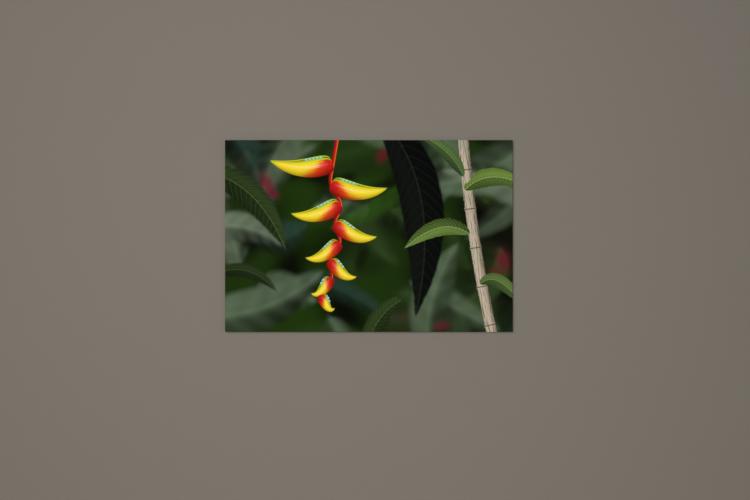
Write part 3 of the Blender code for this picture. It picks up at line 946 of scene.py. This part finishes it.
def beech(name, lengthwise):
    """Sawn beech: even, with short dark flecks along the grain."""
    wood = Finish(name, Specular_IOR_Level=0.3)
    x, y, z = wood.place()
    run, across = (x, z) if lengthwise == "x" else (z, x)
    fleck = wood.noise(wood.vector(run * 160, across * 1500, y * 1500), detail=2)
    cloud = wood.noise(wood.vector(run * 20, across * 120, y * 120), detail=3) - 0.5
    level = wood.clamp(wood.step(fleck, 0.56, 0.70) * 0.6 + cloud * 0.7 + 0.15)
    shown = wood.mix(BEECH, BEECH_DARK, level)
    rough = 0.6 + cloud * 0.1
    return wood.wear(Base_Color=shown, Roughness=rough, Normal=wood.bump(fleck, 0.0001, 0.5))


def zinc():
    """Zinc-plated steel: rolled lines along x under a cloudy, slightly uneven plating."""
    metal = Finish("zinc_steel", Metallic=1.0)
    x, y, z = metal.place()
    rolled = metal.noise(metal.vector(x * 60, y * 2600, z * 2600), detail=2) - 0.5
    cloud = metal.noise(metal.vector(x, y, z), 240.0, 3) - 0.5
    shown = metal.mix(colour(176, 180, 184), colour(206, 204, 196), metal.clamp(0.5 + cloud * 1.6))
    rough = 0.36 + cloud * 0.22 + rolled * 0.12
    return metal.wear(Base_Color=shown, Roughness=rough, Normal=metal.bump(rolled, 0.00006, 0.5))


def rubber():
    """Moulded black rubber with a fine grain and a little dust."""
    black = Finish("pad_rubber", Specular_IOR_Level=0.35)
    place = black.node("TexCoord", output=3)
    grain = black.noise(place, 2400.0, 2)
    dust = black.step(black.noise(place, 420.0, 4, 0.7), 0.52, 0.72)
    shown = black.mix(colour(24, 24, 25), colour(72, 70, 66), dust * 0.5)
    rough = 0.74 + dust * 0.15
    return black.wear(Base_Color=shown, Roughness=rough, Normal=black.bump(grain, 0.00008, 0.6))


def finish_frame(steel):
    """Every CAD part's own finish, by the way its grain runs."""
    finishes = {"hanger": steel, "pad": rubber()}
    for name, grain in PINE_BARS.items():
        finishes[name] = pine("pine_" + name.split("_")[-1], *grain)
    keys = {"a": beech("beech_level", "x"), "b": beech("beech_upright", "z")}
    for name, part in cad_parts.items():
        start = next((start for start in finishes if name.startswith(start)), None)
        if start:
            part.material_slots[0].material = finishes[start]
        elif name.startswith("key"):
            part.material_slots[0].material = keys[name[-1]]


# ---- Stage, light and camera -----------------------------------------------------------
FLOOR_Z = -1.44
STAGE = 8.0  # half width of the floor and wall
WALL_Y, WALL_TOP = 0.0004, 5.0  # the wall is a hair behind the picture
STAGE_TINTS = {"floor": colour(206, 203, 196), "wall": colour(116, 110, 102)}
BEAM = 90  # degrees
LAMPS = (  # name, place, size, watts, tint
    ("front", (-2.2, -10.0, 1.2), 3.6, 160, (1.0, 0.99, 0.97)),
    ("key", (-3.4, -7.2, 3.4), 2.0, 36, (1.0, 0.98, 0.95)),
    ("fill", (6.0, -7.0, 0.8), 5.0, 20, (0.96, 0.98, 1.0)),
    ("back", (2.6, 6.8, 3.0), 3.2, 115, (1.0, 0.98, 0.95)),
)
VIEW_DISTANCE = 4.846
VIEW_X, VIEW_Z = 0.0320, -0.073
SENSOR_WIDTH = 36.0
FOCAL_SHARE = 1.24  # focal length over the sensor's width


def one_sided(name, tint):
    """A plain matt finish that can't be seen from behind."""
    stage = Finish(name, Roughness=0.9, Base_Color=tint)
    behind = stage.node("NewGeometry", output=6)
    clear = stage.node("BsdfTransparent")
    solid = Value(stage, stage.shader.outputs[0])
    shown = stage.node("MixShader", None, {0: behind, 1: solid, 2: clear})
    stage.feed(stage.tree.nodes["Material Output"].inputs["Surface"], shown)
    return stage.material


def make_stage():
    """A pale floor, and a plain wall just behind the picture that shows only from the front."""
    floor_ends = ((-STAGE, FLOOR_Z), (STAGE, FLOOR_Z))
    wall_ends = ((WALL_Y, FLOOR_Z), (WALL_Y, WALL_TOP))
    for name, (near, far) in (("floor", floor_ends), ("wall", wall_ends)):
        points = (-STAGE, *near), (STAGE, *near), (STAGE, *far), (-STAGE, *far)
        mesh = bpy.data.meshes.new("stage_" + name)
        mesh.from_pydata(points, [], [(0, 1, 2, 3)])
        mesh.materials.append(one_sided("stage_" + name, STAGE_TINTS[name]))
        plane = bpy.data.objects.new("stage_" + name, mesh)
        bpy.context.collection.objects.link(plane)
        if name == "wall":
            plane.visible_diffuse = False
            plane.visible_glossy = False
            plane.visible_transmission = False
            plane.visible_shadow = False


def area_light(name, place, size, power, tint):
    """A round soft lamp aimed at the picture's centre, its beam narrowed to spare the floor."""
    light = bpy.data.lights.new(name, "AREA")
    light.shape = "DISK"
    light.size, light.energy, light.color = size, power, tint
    light.spread = math.radians(BEAM)
    lamp = bpy.data.objects.new(name, light)
    lamp.location = place
    lamp.rotation_euler = (-lamp.location).to_track_quat("-Z", "Y").to_euler()
    bpy.context.collection.objects.link(lamp)


def make_lights():
    """A broad lamp far in front, a weak key at the upper left, a fill, one behind, a grey sky."""
    for lamp in LAMPS:
        area_light(*lamp)
    world = bpy.data.worlds.new("studio")
    world.use_nodes = True
    sky = world.node_tree.nodes["Background"]
    sky.inputs["Color"].default_value = (0.80, 0.80, 0.80, 1)
    sky.inputs["Strength"].default_value = 0.24
    bpy.context.scene.world = world
    bpy.context.scene.view_settings.view_transform = "Standard"


def make_camera():
    """Square on to the picture, a little to its right and below its middle."""
    data = bpy.data.cameras.new("camera")
    data.sensor_width = SENSOR_WIDTH
    data.lens = SENSOR_WIDTH * FOCAL_SHARE
    camera = bpy.data.objects.new("camera", data)
    camera.location = (VIEW_X, FACE_Y - VIEW_DISTANCE, VIEW_Z)
    camera.rotation_euler = (math.radians(90), 0, 0)
    bpy.context.collection.objects.link(camera)
    bpy.context.scene.camera = camera


# ---- The picture -----------------------------------------------------------------------
make_camera()
make_lights()
make_stage()
steel = zinc()
printed = printed_canvas()
finish_frame(steel)
folds = [
    make_corner_fold(f"corner_fold_{level}_{hand}", across, up, printed)
    for level, up in (("bottom", -1), ("top", 1))
    for hand, across in (("left", -1), ("right", 1))
]
cloth = make_canvas(printed, raw_canvas())
make_staples(steel)
